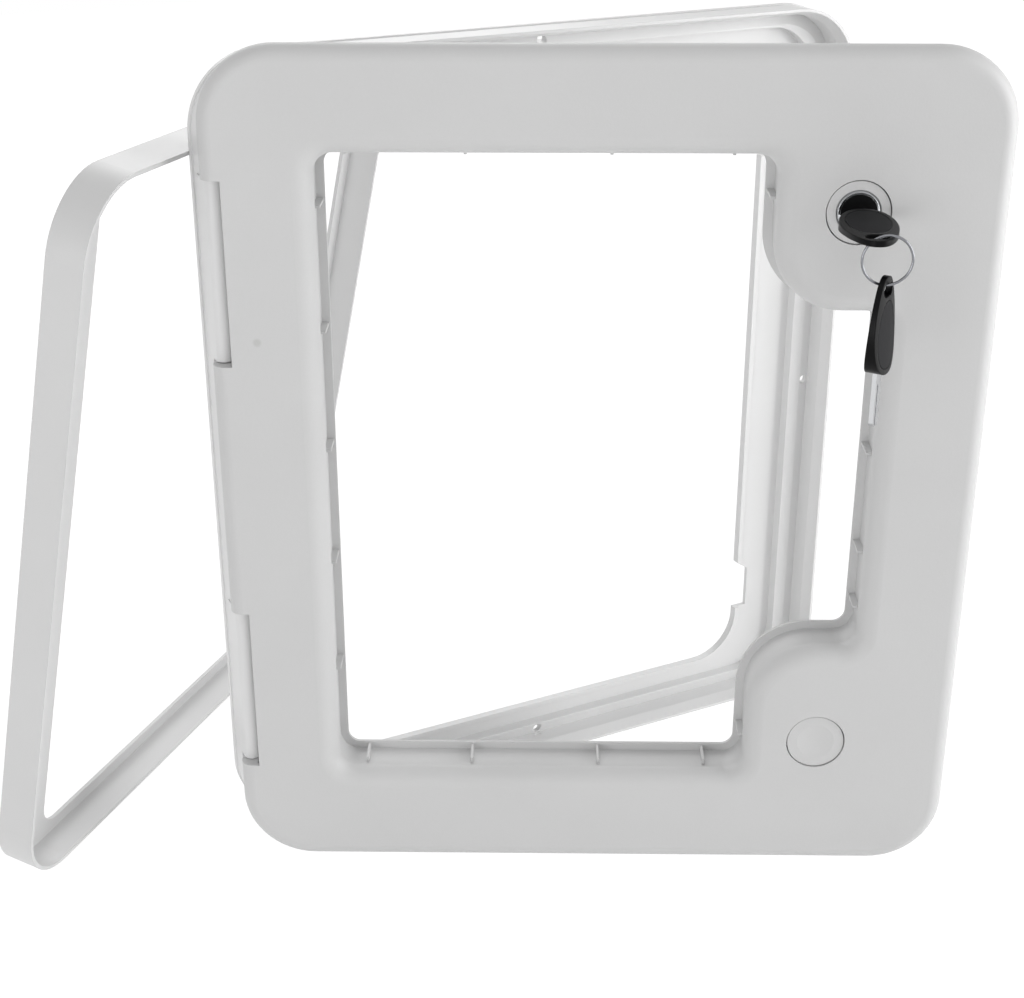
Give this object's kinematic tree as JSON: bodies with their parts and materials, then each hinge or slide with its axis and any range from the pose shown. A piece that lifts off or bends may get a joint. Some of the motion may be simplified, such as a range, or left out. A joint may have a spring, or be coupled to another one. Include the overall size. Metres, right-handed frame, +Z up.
{
  "type": "caravan service hatch",
  "caption": "White moulded service hatch: wall frame, side-hinged door surround with an open window, push latches, key lock, and a loose counter ring.",
  "frame": {"origin": "middle of the wall frame, in the plane of its mounting flange's back face", "axes": "+X to the latch side, +Y into the wall, +Z up along the hinge"},
  "size_m": [0.4812, 0.4372, 0.4241],
  "materials": {
    "frame_plastic": "smooth matt white ABS",
    "door_plastic": "fine moulded texture, matt white ABS",
    "gasket": "closed-cell foam rubber",
    "steel": "plated steel",
    "latch_plastic": "matt white acetal",
    "chrome": "polished chrome plating",
    "black_plastic": "satin black plastic",
    "grey_inlay": "soft dark grey inlay"
  },
  "bodies": {
    "frame": {"outer_frame": "frame_plastic", "frame_gasket": "gasket", "counter_ring": "frame_plastic", "upper_hinge_pin": "steel", "lower_hinge_pin": "steel"},
    "door": {"door_front": "door_plastic", "door_rear": "door_plastic", "door_screws": "steel", "lower_latch_housing": "latch_plastic", "lower_latch_cover": "latch_plastic", "upper_latch_housing": "latch_plastic", "upper_latch_cover": "latch_plastic", "cover_screws": "steel"},
    "push_button": {"push_button": "door_plastic"},
    "lower_bolt": {"lower_bolt": "latch_plastic"},
    "lock_button": {"lock_button": "door_plastic", "lock_barrel": "chrome"},
    "upper_bolt": {"upper_bolt": "latch_plastic"},
    "lock_plug": {"lock_plug": "black_plastic", "lock_cam": "steel", "key_head": "black_plastic", "key_inlay": "grey_inlay", "key_blade": "steel"},
    "key_ring": {"key_ring": "steel"},
    "spare_key": {"spare_key_head": "black_plastic", "spare_key_inlay": "grey_inlay", "spare_key_blade": "steel"}
  },
  "joints": [
    {"name": "door_hinge", "type": "hinge", "parent": "frame", "child": "door", "pos_m": [-0.175, -0.0196, 0], "axis": [0, 0, -1], "range_deg": [-28, 82]},
    {"name": "button_push", "type": "slide", "parent": "door", "child": "push_button", "axis": [0.4695, 0.8829, 0], "range_m": [0, 0.004], "stiffness_N_per_m": 600, "springref_m": -0.002},
    {"name": "lower_bolt_slide", "type": "slide", "parent": "door", "child": "lower_bolt", "axis": [-0.8829, 0.4695, 0], "range_m": [0, 0.006]},
    {"name": "lock_button_push", "type": "slide", "parent": "door", "child": "lock_button", "axis": [0.4695, 0.8829, 0], "range_m": [0, 0.004], "stiffness_N_per_m": 600, "springref_m": -0.002},
    {"name": "upper_bolt_slide", "type": "slide", "parent": "door", "child": "upper_bolt", "axis": [-0.8829, 0.4695, 0], "range_m": [0, 0.006]},
    {"name": "key_turn", "type": "hinge", "parent": "lock_button", "child": "lock_plug", "pos_m": [0.07866, -0.15493, 0.1365], "axis": [0.4695, 0.8829, 0], "range_deg": [0, 90]},
    {"name": "key_ring_swing", "type": "hinge", "parent": "lock_plug", "child": "key_ring", "pos_m": [0.05711, -0.2061, 0.1365], "axis": [0.8829, -0.4695, 0], "range_deg": [-24, 12]},
    {"name": "spare_key_swing", "type": "hinge", "parent": "key_ring", "child": "spare_key", "pos_m": [0.05711, -0.2061, 0.1174], "axis": [0.8829, -0.4695, 0], "range_deg": [-35, 15]}
  ],
  "couplings": [
    {"joint": "lower_bolt_slide", "follows": "button_push", "ratio": 1.5},
    {"joint": "upper_bolt_slide", "follows": "lock_button_push", "ratio": 1.5}
  ]
}
